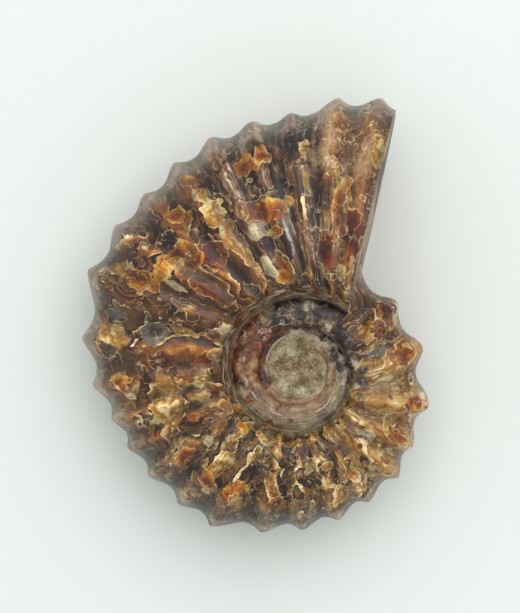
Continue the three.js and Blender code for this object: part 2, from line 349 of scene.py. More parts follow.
PATCHES = (
    # the worn tips of tubercles near the outer edge
    Patch(Layer.TAN, -0.27, 0.61, 0.2, 0.06),
    Patch(Layer.TAN, 1.75, 0.605, 0.12, 0.06),
    Patch(Layer.TAN, 1.8, 0.48, 0.1, 0.05),
    Patch(Layer.TAN, 1.96, 0.39, 0.09, 0.06),
    Patch(Layer.TAN, 4.81, 0.586, 0.14, 0.045),
    Patch(Layer.WHITE, 6.96, 0.591, 0.13, 0.033),
    # and of those round the umbilicus
    Patch(Layer.TAN, 0.5, 0.232, 0.32, 0.02),
    Patch(Layer.TAN, 2.3, 0.214, 0.28, 0.022),
    Patch(Layer.AMBER, 3.79, 0.2, 0.45, 0.03),
    Patch(Layer.WHITE, 4.18, 0.242, 0.25, 0.035),
    Patch(Layer.WHITE, 8.2, 0.136, 0.33, 0.065),
    Patch(Layer.TAN, 9.2, 0.154, 0.3, 0.045),
    # the wide lobes between the third rib and the eighth
    Patch(Layer.AMBER, 0.86, 0.75, 0.16, 0.08),
    Patch(Layer.AMBER, 0.75, 0.4, 0.3, 0.09),
    Patch(Layer.RUSSET, 0.2, 0.3, 0.5, 0.07),
    Patch(Layer.RUSSET, 1.3, 0.28, 0.4, 0.05),
    Patch(Layer.DARK, 1.35, 0.16, 0.3, 0.04),
    Patch(Layer.AMBER, 2.93, 0.637, 0.2, 0.045),
    Patch(Layer.AMBER, 3.46, 0.605, 0.26, 0.07),
    Patch(Layer.AMBER, 3.4, 0.41, 0.72, 0.052),
    Patch(Layer.SLATE, 4.07, 0.432, 0.18, 0.033),
    Patch(Layer.WHITE, 3.9, 0.352, 0.32, 0.026),
    Patch(Layer.AMBER, 3.27, 0.334, 0.3, 0.026),
    Patch(Layer.DARK, 3.82, 0.306, 0.32, 0.03),
    Patch(Layer.AMBER, 3.46, 0.246, 0.42, 0.03),
    Patch(Layer.TAN, 4.85, 0.4, 0.36, 0.11),
    Patch(Layer.AMBER, 5.75, 0.596, 0.28, 0.04),
    Patch(Layer.RUSSET, 5.83, 0.366, 0.66, 0.055),
    Patch(Layer.DARK, 6.44, 0.53, 0.36, 0.045),
    Patch(Layer.AMBER, 6.6, 0.458, 0.62, 0.042),
    Patch(Layer.AMBER, 6.43, 0.389, 0.42, 0.034),
    Patch(Layer.SLATE, 5.77, 0.2, 0.3, 0.03),
    Patch(Layer.RUSSET, 7.04, 0.3, 0.25, 0.05),
    Patch(Layer.WHITE, 7.42, 0.366, 0.09, 0.04),
    Patch(Layer.AMBER, 7.7, 0.586, 0.24, 0.11),
    # long bands along the ribs on the left
    Patch(Layer.SLATE, 8.52, 0.605, 0.18, 0.07),
    Patch(Layer.TAN, 8.83, 0.614, 0.18, 0.09),
    Patch(Layer.DARK, 9.14, 0.65, 0.2, 0.06),
    Patch(Layer.SLATE, 8.67, 0.4, 0.3, 0.055),
    Patch(Layer.DARK, 8.2, 0.34, 0.24, 0.045),
    Patch(Layer.AMBER, 9.9, 0.6, 0.26, 0.07),
    Patch(Layer.RUSSET, 9.47, 0.355, 0.38, 0.045),
    Patch(Layer.RUSSET, 9.47, 0.21, 0.4, 0.05),
    Patch(Layer.TAN, 10.35, 0.366, 0.46, 0.06),
    Patch(Layer.TAN, 11.34, 0.412, 0.6, 0.1),
    Patch(Layer.TAN, 10.35, 0.23, 0.44, 0.045),
    Patch(Layer.RUSSET, 11.4, 0.187, 0.36, 0.04),
    Patch(Layer.AMBER, 12.06, 0.31, 0.26, 0.03),
    # the worn edge of the umbilicus
    Patch(Layer.TAN, 12.5, 0.17, 0.5, 0.035),
    Patch(Layer.AMBER, 13.9, 0.16, 0.45, 0.03),
    Patch(Layer.TAN, 15.4, 0.15, 0.5, 0.035),
    Patch(Layer.AMBER, 16.9, 0.16, 0.45, 0.03),
    Patch(Layer.TAN, 18.1, 0.15, 0.45, 0.035),
    # flecks in the fine mosaic below
    Patch(Layer.AMBER, 13.2, 0.485, 0.3, 0.055),
    Patch(Layer.WHITE, 13.3, 0.31, 0.17, 0.028),
    Patch(Layer.AMBER, 14.2, 0.485, 0.3, 0.05),
    Patch(Layer.AMBER, 15.2, 0.5, 0.32, 0.09),
    # a white core in the amber fleck, partly the shell's own colour and partly a painted glint
    Patch(Layer.WHITE, 15.2, 0.52, 0.13, 0.05),
    Patch(Layer.AMBER, 16.3, 0.52, 0.25, 0.06),
    Patch(Layer.TAN, 14.5, 0.32, 0.36, 0.025),
    # and broad pale and rusty ones where the whorl nears the mouth again
    Patch(Layer.TAN, 18.45, 0.6, 0.32, 0.09),
    Patch(Layer.AMBER, 19.2, 0.476, 0.18, 0.05),
    Patch(Layer.TAN, 19.42, 0.43, 0.22, 0.08),
    Patch(Layer.TAN, 18.3, 0.34, 0.52, 0.032),
    Patch(Layer.RUSSET, 20.04, 0.357, 0.22, 0.03),
    Patch(Layer.WHITE, 20.7, 0.366, 0.28, 0.06),
    Patch(Layer.RUSSET, 21.15, 0.614, 0.14, 0.1),
    Patch(Layer.TAN, 21.4, 0.458, 0.25, 0.05),
    Patch(Layer.AMBER, 22.1, 0.72, 0.18, 0.14),
    Patch(Layer.RUSSET, 23.1, 0.6, 0.22, 0.11),
    Patch(Layer.SLATE, 23.5, 0.384, 0.18, 0.065),
    Patch(Layer.RUSSET, 23.9, 0.485, 0.2, 0.08),
    Patch(Layer.RUSSET, 22.6, 0.22, 0.35, 0.06),
    Patch(Layer.DARK, 23.85, 0.22, 0.42, 0.07),
)
# how far each layer stands over or under the polish, in steps of FossilMesh.chip_step
LAYER_STEPS = {Layer.DARK: -0.6, Layer.RUSSET: -0.4, Layer.TAN: 0.35, Layer.WHITE: 0.5, Layer.SLATE: -0.3}


@dataclass(frozen=True)
class Zone:
    """How strongly one kind of filling shows along a whorl: knots of a place on it and a share."""

    attribute: str
    channel: int
    knots: tuple[tuple[float, float], ...]


ZONES = (
    # matte sediment, slate, the fine mosaic and honey, by rib number on the outer whorl
    Zone("zones_a", 0, ((1.2, 1), (2.2, 0.15), (3, 0))),
    Zone("zones_a", 1, ((0.6, 0), (1.8, 0.7), (2.6, 0.9), (4.2, 0.7), (5, 0.15), (12, 0.1), (25, 0))),
    Zone("zones_a", 2, ((10, 0), (12.5, 0.6), (15, 1), (19, 1), (21, 0.4), (25, 0.2))),
    Zone("zones_b", 0, (
        (6, 0), (9, 0.3), (12, 0.35), (14, 0), (16, 0), (19, 0.4), (21, 0.9), (23, 0.85), (24.3, 0.3),
    )),
)  # fmt: skip
INNER_ZONES = (
    # navy and russet, by degrees round the inner whorl from under the mouth
    Zone("zones_c", 0, ((0, 1), (50, 1), (80, 0.3), (100, 0), (265, 0), (305, 0.6), (350, 0.9))),
    Zone("zones_c", 1, ((45, 0), (80, 0.9), (115, 0.8), (150, 0.2), (190, 0))),
)

LAST_RIB = 24.3  # the rib number where the outer whorl ends, under the mouth
ZONE_ATTRIBUTES = ("zones_a", "zones_b", "zones_c")
MARK_ATTRIBUTES = ("marks_a", "marks_b")


@dataclass
class FossilMesh:
    """Builds the fossil's fine mesh and the values that its finish reads from it. Sizes are mm."""

    whorls: Whorls
    columns: int = 590
    rows: int = 54
    inner_rows: int = 14
    core_rings: int = 14
    mouth_step: float = 0.55  # between vertices of the sawn face
    rows_shift_from: float = 0.6 * TURN  # from here the rows move to meet the inner whorl's
    swell: float = 0.16  # height of the wide swells left by hand polishing
    swell_size: float = 5.0
    pitting: float = 0.05
    pit_size: float = 0.9
    chip_step: float = 0.14  # where polish cuts from one layer into the next
    seam_groove: float = 0.4  # depth of the groove along the seam
    groove_width: float = 0.06  # in shares of the inner whorl's width
    core_groove_width: float = 0.08
    level: float = 60.0  # third coordinate of the unrolled pattern, clear of 0
    along: float = 22.0  # mm of pattern for a radian of the outer whorl
    inner_along: float = 8.0
    core_along: float = 6.0  # mm of pattern from the inner whorl to the core's middle
    core_radius: float = 4.45
    core_aside: tuple[float, float] = (0.9, 1.1)  # of the core's middle from the coil's
    core_edge: float = 0.12  # half of the width that its finish fades over
    core_grain: float = 0.07
    core_grain_size: float = 0.6
    core_pit: float = 0.2
    core_pit_size: float = 0.5
    lip_height: float = 0.2
    lip_inside: float = 0.35  # how far inside the core's edge it runs
    lip_width: float = 0.3
    lip_groove: float = 0.25
    lip_groove_outside: float = 0.2
    lip_groove_width: float = 0.22

    positions: list[np.ndarray] = field(default_factory=list)
    faces: list[np.ndarray] = field(default_factory=list)
    values: dict[str, list[np.ndarray]] = field(default_factory=dict)
    count: int = 0

    def spaced_turns(self) -> np.ndarray:
        """Spaces the columns out.

        Returns:
            Turns at even steps along the outer edge, wider apart in angle where the coil is small.
        """
        even = np.linspace(0, TURN, SAMPLES)
        length = np.concatenate([[0], np.cumsum(np.exp(-self.whorls.coil_decay * even[:-1]))])
        return np.interp(np.linspace(0, length[-1], self.columns + 1), length, even)

    def spaced_rows(self) -> np.ndarray:
        """Spaces the rows out.

        Returns:
            Places across, at even steps round the section a third of the way round the whorl.
        """
        across = np.linspace(0, 1, SECTION_SAMPLES)
        r, z = self.whorls.smooth_section(np.full(SECTION_SAMPLES, TURN / 3), across)
        length = np.concatenate([[0], np.cumsum(np.hypot(np.diff(r), np.diff(z)))])
        return np.interp(np.linspace(0, length[-1], self.rows + 1), length, across)

    def roughness(self, points: np.ndarray, size: float, seed: float) -> np.ndarray:
        """Smooth noise from -1 to 1 at points, with features of about the given size."""
        scaled = points.reshape(-1, 3) / size + seed
        return np.array([noise.noise(Vector(p)) for p in scaled]).reshape(points.shape[:-1])

    def add(self, points: np.ndarray, **values: np.ndarray) -> np.ndarray:
        """Adds a grid of vertices with their values.

        Args:
            points: the vertices' places, in mm.
            values: three numbers a vertex for each attribute.

        Returns:
            The vertices' numbers, in the grid's shape.
        """
        shape = points.shape[:-1]
        numbers = self.count + np.arange(math.prod(shape)).reshape(shape)
        self.positions.append(points.reshape(-1, 3))
        for name, value in values.items():
            self.values.setdefault(name, []).append(np.asarray(value, float).reshape(-1, 3))
        self.count += numbers.size
        return numbers

    def marks(self, rib: np.ndarray, across: np.ndarray, side: int) -> dict[str, np.ndarray]:
        """How deep each place lies in a patch of each layer: 0 on its edge, 1 in its middle.

        Args:
            rib: rib numbers.
            across: places from the seam to the keel line.
            side: 1 for the upper side, -1 for the lower, which has an order of its own.

        Returns:
            The attributes marks_a and marks_b.
        """
        found = {name: np.full((*rib.shape, 3), -1.0) for name in MARK_ATTRIBUTES}
        for patch in PATCHES:
            name, channel = patch.layer.value
            middle = patch.rib if side > 0 else LAST_RIB - patch.rib
            far = np.hypot((rib - middle) / patch.half_ribs, (across - patch.across) / patch.half_across)
            here = found[name][..., channel]
            np.maximum(here, 1 - far, out=here)
        return found

    def zones(self, rib: np.ndarray, across: np.ndarray, side: int) -> dict[str, np.ndarray]:
        """The share of each kind of filling on one side of the outer whorl.

        Args:
            rib: rib numbers.
            across: places from the seam to the keel line.
            side: 1 for the upper side, -1 for the lower, which has an order of its own.

        Returns:
            The attributes zones_a to zones_c, which agree on the keel line.
        """
        upper = self.upper_zones(rib, across)
        if side > 0:
            return upper
        lower = self.upper_zones(LAST_RIB - rib, across)
        keel = smoothstep(across, 0.6, 1)[..., None]
        return {name: lower[name] + (upper[name] - lower[name]) * keel for name in upper}

    def upper_zones(self, where: np.ndarray, across: np.ndarray) -> dict[str, np.ndarray]:
        """The share of each kind of filling on the upper side.

        Args:
            where: rib numbers.
            across: places from the seam to the keel line.

        Returns:
            The attributes zones_a to zones_c.
        """
        found = {name: np.zeros((*where.shape, 3)) for name in ZONE_ATTRIBUTES}
        for zone in ZONES:
            found[zone.attribute][..., zone.channel] = np.interp(where, *zip(*zone.knots))
        near_end = np.interp(where, (20.5, 22.5, 24.5), (0, 0.8, 1))
        found["zones_c"][..., 0] = near_end * (1 - smoothstep(across, 0.2, 0.33))
        layered = np.interp(where, (9, 13, 20, 25), (1, 0.45, 0.4, 0.7))
        found["zones_b"][..., 1] = layered * (1 - smoothstep(across, 0.08, 0.2))
        reach = np.interp(where, (0, 3, 10, 13, 17, 19, 22), (0.66, 0.64, 0.6, 0.44, 0.44, 0.62, 0.8))
        found["zones_b"][..., 2] = smoothstep(across, reach, reach + 0.36)
        return found

    def inner_zones(self, turn: np.ndarray) -> dict[str, np.ndarray]:
        """The share of each kind of filling on the inner whorl.

        Args:
            turn: angles wound back from the mouth, all on the inner whorl.

        Returns:
            The attributes zones_a to zones_c.
        """
        found = {name: np.zeros((*turn.shape, 3)) for name in ZONE_ATTRIBUTES}
        past_mouth = np.degrees(turn - TURN)
        for zone in INNER_ZONES:
            found[zone.attribute][..., zone.channel] = np.interp(past_mouth, *zip(*zone.knots))
        return found

    def way_up(self, rows: np.ndarray) -> np.ndarray:
        """How far up the whorl each row lies, in mm from the seam, a third of the way round."""
        r, z = self.whorls.smooth_section(np.full_like(rows, TURN / 3), rows)
        return np.concatenate([[0], np.cumsum(np.hypot(np.diff(r), np.diff(z)))])

    def place(self, along: np.ndarray, up: np.ndarray, top: float, side: int) -> np.ndarray:
        """Unrolls the shell flat.

        Args:
            along: mm along the coil.
            up: mm up the whorl from the seam.
            top: how far up the keel line lies.
            side: 1 for the upper side, -1 for the lower, which goes on beyond the keel line.

        Returns:
            The flank attribute: mm along the coil, mm round the section and an even level.
        """
        along, up = np.broadcast_arrays(along, up if side > 0 else 2 * top - up)
        return np.stack([along, up, np.full(up.shape, self.level)], -1)

    def inner_side(self, side: int, turns: np.ndarray, rows: np.ndarray) -> np.ndarray:
        """Adds one side of the inner whorl, as far out as the seam that covers the rest.

        Args:
            side: 1 for the upper side, -1 for the lower.
            turns: the columns' turns on the outer whorl.
            rows: the rows' places across the outer whorl.

        Returns:
            Vertex numbers, by column and row.
        """
        whorls, last = self.whorls, self.inner_rows
        turn = np.repeat(turns[:, None] + TURN, last + 1, 1)
        edge = whorls.contact(turns + TURN)[:, None]
        share = np.linspace(0, 1, last + 1)[None]
        r, z = whorls.section(turn, edge * share)
        # its outer edge is tilted up or down to the seam, and both seams lie in a groove
        slack = whorls.seam_at(turns)[1] - z[:, -1]
        slack[0] = 0
        z = z + slack[:, None] * share
        groove = bump(share, 1, self.groove_width) + 0.6 * bump(share, 0, self.core_groove_width)
        z = z - self.seam_groove * groove * np.minimum(turns[:, None] * 8, 1)
        points = whorls.points(turn, r, z) * np.array([1, 1, side])
        points[..., 2] += side * self.pitting * self.roughness(points, self.pit_size, 7)

        up = self.way_up(rows)
        along = TURN * self.along + (turn - TURN) * self.inner_along
        place = self.place(along, up[None, : last + 1], up[-1], side)
        started = smoothstep(turn, TURN, TURN + 0.25)
        form = np.stack([whorls.crest_at(turn) * (1 - started), edge * share, started], -1)
        unmarked = np.full((*turn.shape, 3), -1.0)
        kinds = self.inner_zones(turn)
        out = self.from_core(points)
        points[..., 2] += side * self.lip(out)
        kinds["zones_c"][..., 2] = self.in_core(out)
        inner = self.add(points, flank=place, form=form, marks_a=unmarked, marks_b=unmarked, **kinds)
        # a whole turn on, its outer edge has reached its own seam
        inner[-1, last] = inner[0, 0]
        return inner

    def polish_relief(
        self, points: np.ndarray, turn: np.ndarray, across: np.ndarray, marks: dict[str, np.ndarray]
    ) -> np.ndarray:
        """How far polishing and wear have left the outer whorl over or under its section.

        Args:
            points: places on the section.
            turn: their angles wound back from the mouth.
            across: their places from the seam to the keel line.
            marks: the attributes marks_a and marks_b there.

        Returns:
            Heights out of the surface: wide swells, pits, and low steps from layer to layer.
        """
        free = smoothstep(across, 0, 0.06) * smoothstep(TURN - turn, 0, 0.15) * smoothstep(turn, 0, 0.04)
        steps = 0
        for layer, depth in LAYER_STEPS.items():
            name, channel = layer.value
            steps = steps + depth * smoothstep(marks[name][..., channel], 0, 0.12)
        relief = free * (
            self.swell * self.roughness(points, self.swell_size, 3)
            + self.pitting * self.roughness(points, self.pit_size, 5)
            + self.chip_step * steps
        )
        relief[:, -1] = 0
        return relief

    def outer_side(
        self, side: int, turns: np.ndarray, rows: np.ndarray, keel: np.ndarray, inner: np.ndarray
    ) -> np.ndarray:
        """Adds one side of the outer whorl.

        Args:
            side: 1 for the upper side, -1 for the lower.
            turns: the columns' turns.
            rows: the rows' places across, which move to meet the inner whorl's rows at its end.
            keel: vertex numbers of the keel line, which both sides share.
            inner: vertex numbers of the same side of the inner whorl, which it meets at the seam.

        Returns:
            Vertex numbers, by column and row.
        """
        whorls, last = self.whorls, self.inner_rows
        mirror = np.array([1, 1, side])
        number = np.arange(self.rows + 1)
        covered_to = whorls.contact(np.array([TURN]))[0]
        beyond = covered_to + (1 - covered_to) * (number - last) / (self.rows - last)
        met = np.where(number <= last, covered_to * number / last, beyond)
        blend = smoothstep(turns, self.rows_shift_from, TURN)[:, None]
        across = rows[None] + (met - rows)[None] * blend
        turn = np.repeat(turns[:, None], self.rows + 1, 1)
        rib = whorls.rib_at(turn)[3]
        marks = self.marks(rib, across, side)
        points = whorls.points(turn, *whorls.section(turn, across)) * mirror
        relief = self.polish_relief(points, turn, across, marks)
        points = whorls.points(turn, *whorls.section(turn, across, relief)) * mirror
        up = self.way_up(rows)
        place = self.place(turn * self.along, up[None], up[-1], side)
        form = np.stack([whorls.crest_at(turn), across, 0 * turn], -1)
        outer = self.add(points, flank=place, form=form, **marks, **self.zones(rib, across, side))
        outer[:, 0] = inner[:, last]
        outer[-1, : last + 1] = inner[0]
        outer[:, -1] = keel
        return outer

    def ribbon(self, side: int, grid: np.ndarray) -> None:
        """Adds the faces between a grid's columns and rows."""
        quads = np.stack([grid[:-1, :-1], grid[:-1, 1:], grid[1:, 1:], grid[1:, :-1]], -1).reshape(-1, 4)
        self.faces.append(quads if side > 0 else quads[:, ::-1])

    def from_core(self, points: np.ndarray) -> np.ndarray:
        """How far points lie from the middle of the core, in plan."""
        middle = np.add(self.whorls.core_centre, self.core_aside)
        return np.hypot(points[..., 0] - middle[0], points[..., 1] - middle[1])

    def lip(self, out: np.ndarray) -> np.ndarray:
        """The height of the low lip round the core and of the groove outside it."""
        lip = self.lip_height * bump(out, self.core_radius - self.lip_inside, self.lip_width)
        groove = bump(out, self.core_radius + self.lip_groove_outside, self.lip_groove_width)
        return lip - self.lip_groove * groove

    def in_core(self, out: np.ndarray) -> np.ndarray:
        """The share of the core's finish, by distance from its middle."""
        return smoothstep(out, self.core_radius + self.core_edge, self.core_radius - self.core_edge)

    def core(self, side: int, inner: np.ndarray) -> None:
        """Closes the middle of the coil with a flat polished disc inside a groove and a lip.

        Args:
            side: 1 for the upper side, -1 for the lower.
            inner: vertex numbers of that side of the inner whorl.
        """
        rim = np.concatenate([inner[:, 0], inner[-1, 1 : self.inner_rows]])
        start = np.concatenate(self.positions)[rim]
        centre = np.array([*np.add(self.whorls.core_centre, self.core_aside), side * self.whorls.core_height])
        share = np.linspace(0, 1, self.core_rings + 1)[1:, None, None]
        points = start[None] + (centre - start)[None] * share
        points[-1, 1:] = points[-1, 0]
        out = self.from_core(points)
        inwards = share[..., 0]
        lip = self.lip(out) * smoothstep(inwards, 0, 0.1) + self.lip(out[:1]) * smoothstep(inwards, 0.1, 0)
        pits = self.core_pit * smoothstep(self.roughness(points, self.core_pit_size, 4), 0.35, 0.6)
        rough = self.core_grain * self.roughness(points, self.core_grain_size, 11) - pits
        points[..., 2] = side * (self.whorls.core_height + lip + rough * smoothstep(inwards, 0, 0.2))
        known = {name: np.concatenate(blocks)[rim] for name, blocks in self.values.items()}
        values = {name: value[None] + 0 * points for name, value in known.items()}
        values["flank"][..., 1] -= self.core_along * inwards
        values["zones_c"][..., 2] = self.in_core(out)
        # the lip's bell in the first channel is read as a crest, so the finish paints it lighter as painted
        # light
        values["form"] = np.stack([bump(out, self.core_radius + 0.15, 0.25), -out, np.ones_like(out)], -1)
        rings = self.add(points, **values)
        rings[-1] = rings[-1, 0]
        grid = np.concatenate([rim[None], rings])
        grid = np.concatenate([grid, grid[:, :1]], 1)
        self.ribbon(-side, grid.T)

    def mouth(self, upper: np.ndarray, lower: np.ndarray) -> int:
        """Closes the sawn mouth with a flat sheet of small triangles, which knows its own depth.

        Args:
            upper: vertex numbers of the outer whorl's upper side.
            lower: and of its lower side.

        Returns:
            How many faces it has.
        """
        after = self.inner_rows + 1
        edge = [*upper[0], *lower[0, :-1][::-1]]
        under = [*lower[-1, after:], *upper[-1, after:-1][::-1]]
        outline = np.concatenate(self.positions)[np.array([*edge, *under])]
        bearing = self.whorls.mouth_bearing
        outwards = np.array([math.cos(bearing), math.sin(bearing), 0])
        upwards = np.array([0, 0, 1.0])
        flat = np.stack([outline @ outwards, outline @ upwards], -1)
        aside = outline.mean(0) - flat[:, :1].mean() * outwards - flat[:, 1:].mean() * upwards

        steps = [np.arange(low, high, self.mouth_step) for low, high in zip(flat.min(0), flat.max(0))]
        lattice = np.stack(np.meshgrid(*steps), -1).reshape(-1, 2)
        far = np.linalg.norm(lattice[:, None] - flat[None], axis=-1).min(1)
        sheet = np.concatenate([flat, lattice[far > self.mouth_step / 2]])
        wanted = [list(range(len(flat)))]
        spots, _, triangles, *_ = delaunay_2d_cdt([Vector(p) for p in sheet], [], wanted, 1, 1e-5)
        spots = np.array([tuple(p) for p in spots])
        points = spots[:, :1] * outwards + spots[:, 1:] * upwards + aside
        form = np.zeros_like(points)
        form[:, 0] = np.linalg.norm(spots[:, None] - flat[None], axis=-1).min(1)
        nothing = np.zeros_like(points)
        numbers = self.add(points, **{**{name: nothing for name in self.values}, "form": form})
        self.faces.append(numbers[np.array(triangles)])
        return len(triangles)

    def build(self) -> bpy.types.Object:
        """Makes the fossil's object, lying where the CAD part lies.

        Returns:
            The new object, with its attributes and its faces numbered for two materials: shell and sawn face.
        """
        turns, rows = self.spaced_turns(), self.spaced_rows()
        r, z = self.whorls.section(turns, np.ones_like(turns))
        line = self.whorls.points(turns, r, 0 * z)
        rib = self.whorls.rib_at(turns)[3]
        top = self.way_up(rows)[-1]
        keel = self.add(
            line,
            flank=self.place(turns * self.along, top, top, 1),
            form=np.stack([self.whorls.crest_at(turns), np.ones_like(turns), 0 * turns], -1),
            **self.marks(rib, np.ones_like(turns), 1),
            **self.zones(rib, np.ones_like(turns), 1),
        )
        surfaces = {}
        for side in (1, -1):
            inner = self.inner_side(side, turns, rows)
            surfaces[side] = self.outer_side(side, turns, rows, keel, inner), inner
        for side, (outer, inner) in surfaces.items():
            self.ribbon(side, outer)
            self.ribbon(side, inner)
            self.core(side, inner)
        return self.finish(self.mouth(surfaces[1][0], surfaces[-1][0]))

    def finish(self, sawn: int) -> bpy.types.Object:
        """Drops unused vertices, lays the mesh down and makes the object from it.

        Args:
            sawn: how many of the last faces lie on the sawn mouth.

        Returns:
            The new object.
        """
        points = self.whorls.laid_down(np.concatenate(self.positions))
        faces = [list(dict.fromkeys(face)) for block in self.faces for face in block.tolist()]
        faces = [face for face in faces if len(face) > 2]
        used, numbers = np.unique(np.concatenate([np.array(face) for face in faces]), return_inverse=True)
        points = points[used]
        low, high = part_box(NODE)
        middle = (np.array(low) + np.array(high))[:2] / 2 / MM
        points[:, :2] += middle - (points[:, :2].min(0) + points[:, :2].max(0)) / 2
        points[:, 2] = np.maximum(points[:, 2] - points[:, 2].min() - self.whorls.worn_flat, 0)
        mesh = bpy.data.meshes.new("fossil")
        ends = np.cumsum([len(face) for face in faces])
        renumbered = [part.tolist() for part in np.split(numbers.ravel(), ends[:-1])]
        mesh.from_pydata((points * MM).tolist(), [], renumbered)
        for name, blocks in self.values.items():
            attribute = mesh.attributes.new(name, "FLOAT_VECTOR", "POINT")
            attribute.data.foreach_set("vector", np.concatenate(blocks)[used].astype(np.float32).ravel())
        mesh.shade_smooth()
        for face in mesh.polygons[len(faces) - sawn :]:
            face.material_index = 1
        mesh.update()
        mesh.validate()
        piece = bpy.data.objects.new("fossil", mesh)
        bpy.context.scene.collection.objects.link(piece)
        return piece


Stops = tuple[tuple[float, str], ...]
Output = bpy.types.Node | bpy.types.NodeSocket
Add = Callable[..., bpy.types.Node]
SMOOTH = {"interpolation_type": "SMOOTHSTEP"}  # a step that eases in and out
COLOURS = {"data_type": "RGBA"}  # one colour laid over another
# the channels of ZONE_ATTRIBUTES, in their order
ZONE_NAMES = ("sediment", "slate", "mosaic", "honey", "layered", "smoky", "navy", "russet", "core")


def add_node(tree: bpy.types.NodeTree, kind: str, *inputs: object, **settings: object) -> bpy.types.Node:
    """Adds a shader node with its settings and links.

    Args:
        tree: the node tree.
        kind: the node's type name, without ShaderNode.
        inputs: for the node's inputs in their order, a value to set, or a socket or node to link.
        settings: the same for inputs by name, capitalised and with _ for a space; the node's own
            properties; and stops, (place, hex colour) pairs for a colour ramp.

    Returns:
        The new node.
    """
    node = tree.nodes.new("ShaderNode" + kind)
    for number, (place, colour) in enumerate(settings.pop("stops", ())):
        ramp = node.color_ramp.elements
        element = ramp[number] if number < 2 else ramp.new(place)
        element.position, element.color = place, linear(colour)
    for name in [name for name in settings if name.islower()]:
        setattr(node, name, settings.pop(name))
    sockets = [socket for socket in node.inputs if socket.enabled]
    named = {socket.name.replace(" ", "_"): socket for socket in sockets}
    for socket, value in [*zip(sockets, inputs), *((named[name], value) for name, value in settings.items())]:
        if isinstance(value, bpy.types.Node):
            value = next(output for output in value.outputs if output.enabled)
        if isinstance(value, bpy.types.NodeSocket):
            tree.links.new(value, socket)
        else:
            socket.default_value = value
    return node


def new_material(name: str) -> tuple[bpy.types.Material, Add]:
    """Makes an empty material.

    Args:
        name: what it is called.

    Returns:
        The material, and add_node for its tree.
    """
    material = bpy.data.materials.new(name)
    material.use_nodes = True
    material.node_tree.nodes.clear()
    return material, partial(add_node, material.node_tree)


@dataclass(frozen=True)
class Patterns:
    """What several layers of the shell are worked out from. Each is an output of a shader node."""

    place: Output  # mm, round the object
    crest: Output  # 1 on a rib's crest and on the core's lip, which the finish paints lighter as painted light
    across: Output  # 0 at the umbilical seam to 1 on the keel line, and below 0 on the core
    inner: Output  # 1 on the inner whorl
    zone: dict[str, Output]  # the share of each kind of filling
    shifts: tuple[Output, ...]  # what makes the zones' edges ragged
    waves: Output
    ribwise: Output  # flank, rippled
    bent: Output  # ribwise, swirled into lobes
    layer: Output  # 0 at the bottom of a layer to 1 at its top
    streak: Output
    cloud: Output
    spread: Output  # cloud, over the whole of a colour ramp
    streaked: Output
    grit: Output
    patchy: Output
    lines: Output  # growth lines
    broken: Output  # where a long line shows


@dataclass(frozen=True)
class Curls:
    """Thin pale lines that curl about and show in groups. Sizes are mm."""

    curl: float
    group: float
    shown: tuple[float, float]  # levels of noise between which a group fades in
    width: tuple[float, float]  # from the noise's middle level, where a line starts and where it is whole
    strength: float
    detail: float = 1.0
    group_detail: float = 2.0

    def share(self, add: Add, where: Output, place: Output) -> Output:
        """Draws the lines.

        Args:
            add: adds a node to the material.
            where: the places that the lines curl in, in mm.
            place: the places that the groups lie in, in mm.

        Returns:
            How strongly they cover the colour under them.
        """
        lines = add("TexNoise", where, Scale=1 / self.curl, Detail=self.detail)
        lines = add("Math", add("Math", lines, 0.5, operation="SUBTRACT"), operation="ABSOLUTE")
        lines = add("MapRange", lines, *self.width, To_Max=self.strength, **SMOOTH)
        groups = add("TexNoise", place, Scale=1 / self.group, Detail=self.group_detail)
        groups = add("MapRange", groups, *self.shown, **SMOOTH)
        return add("Math", lines, groups, operation="MULTIPLY")


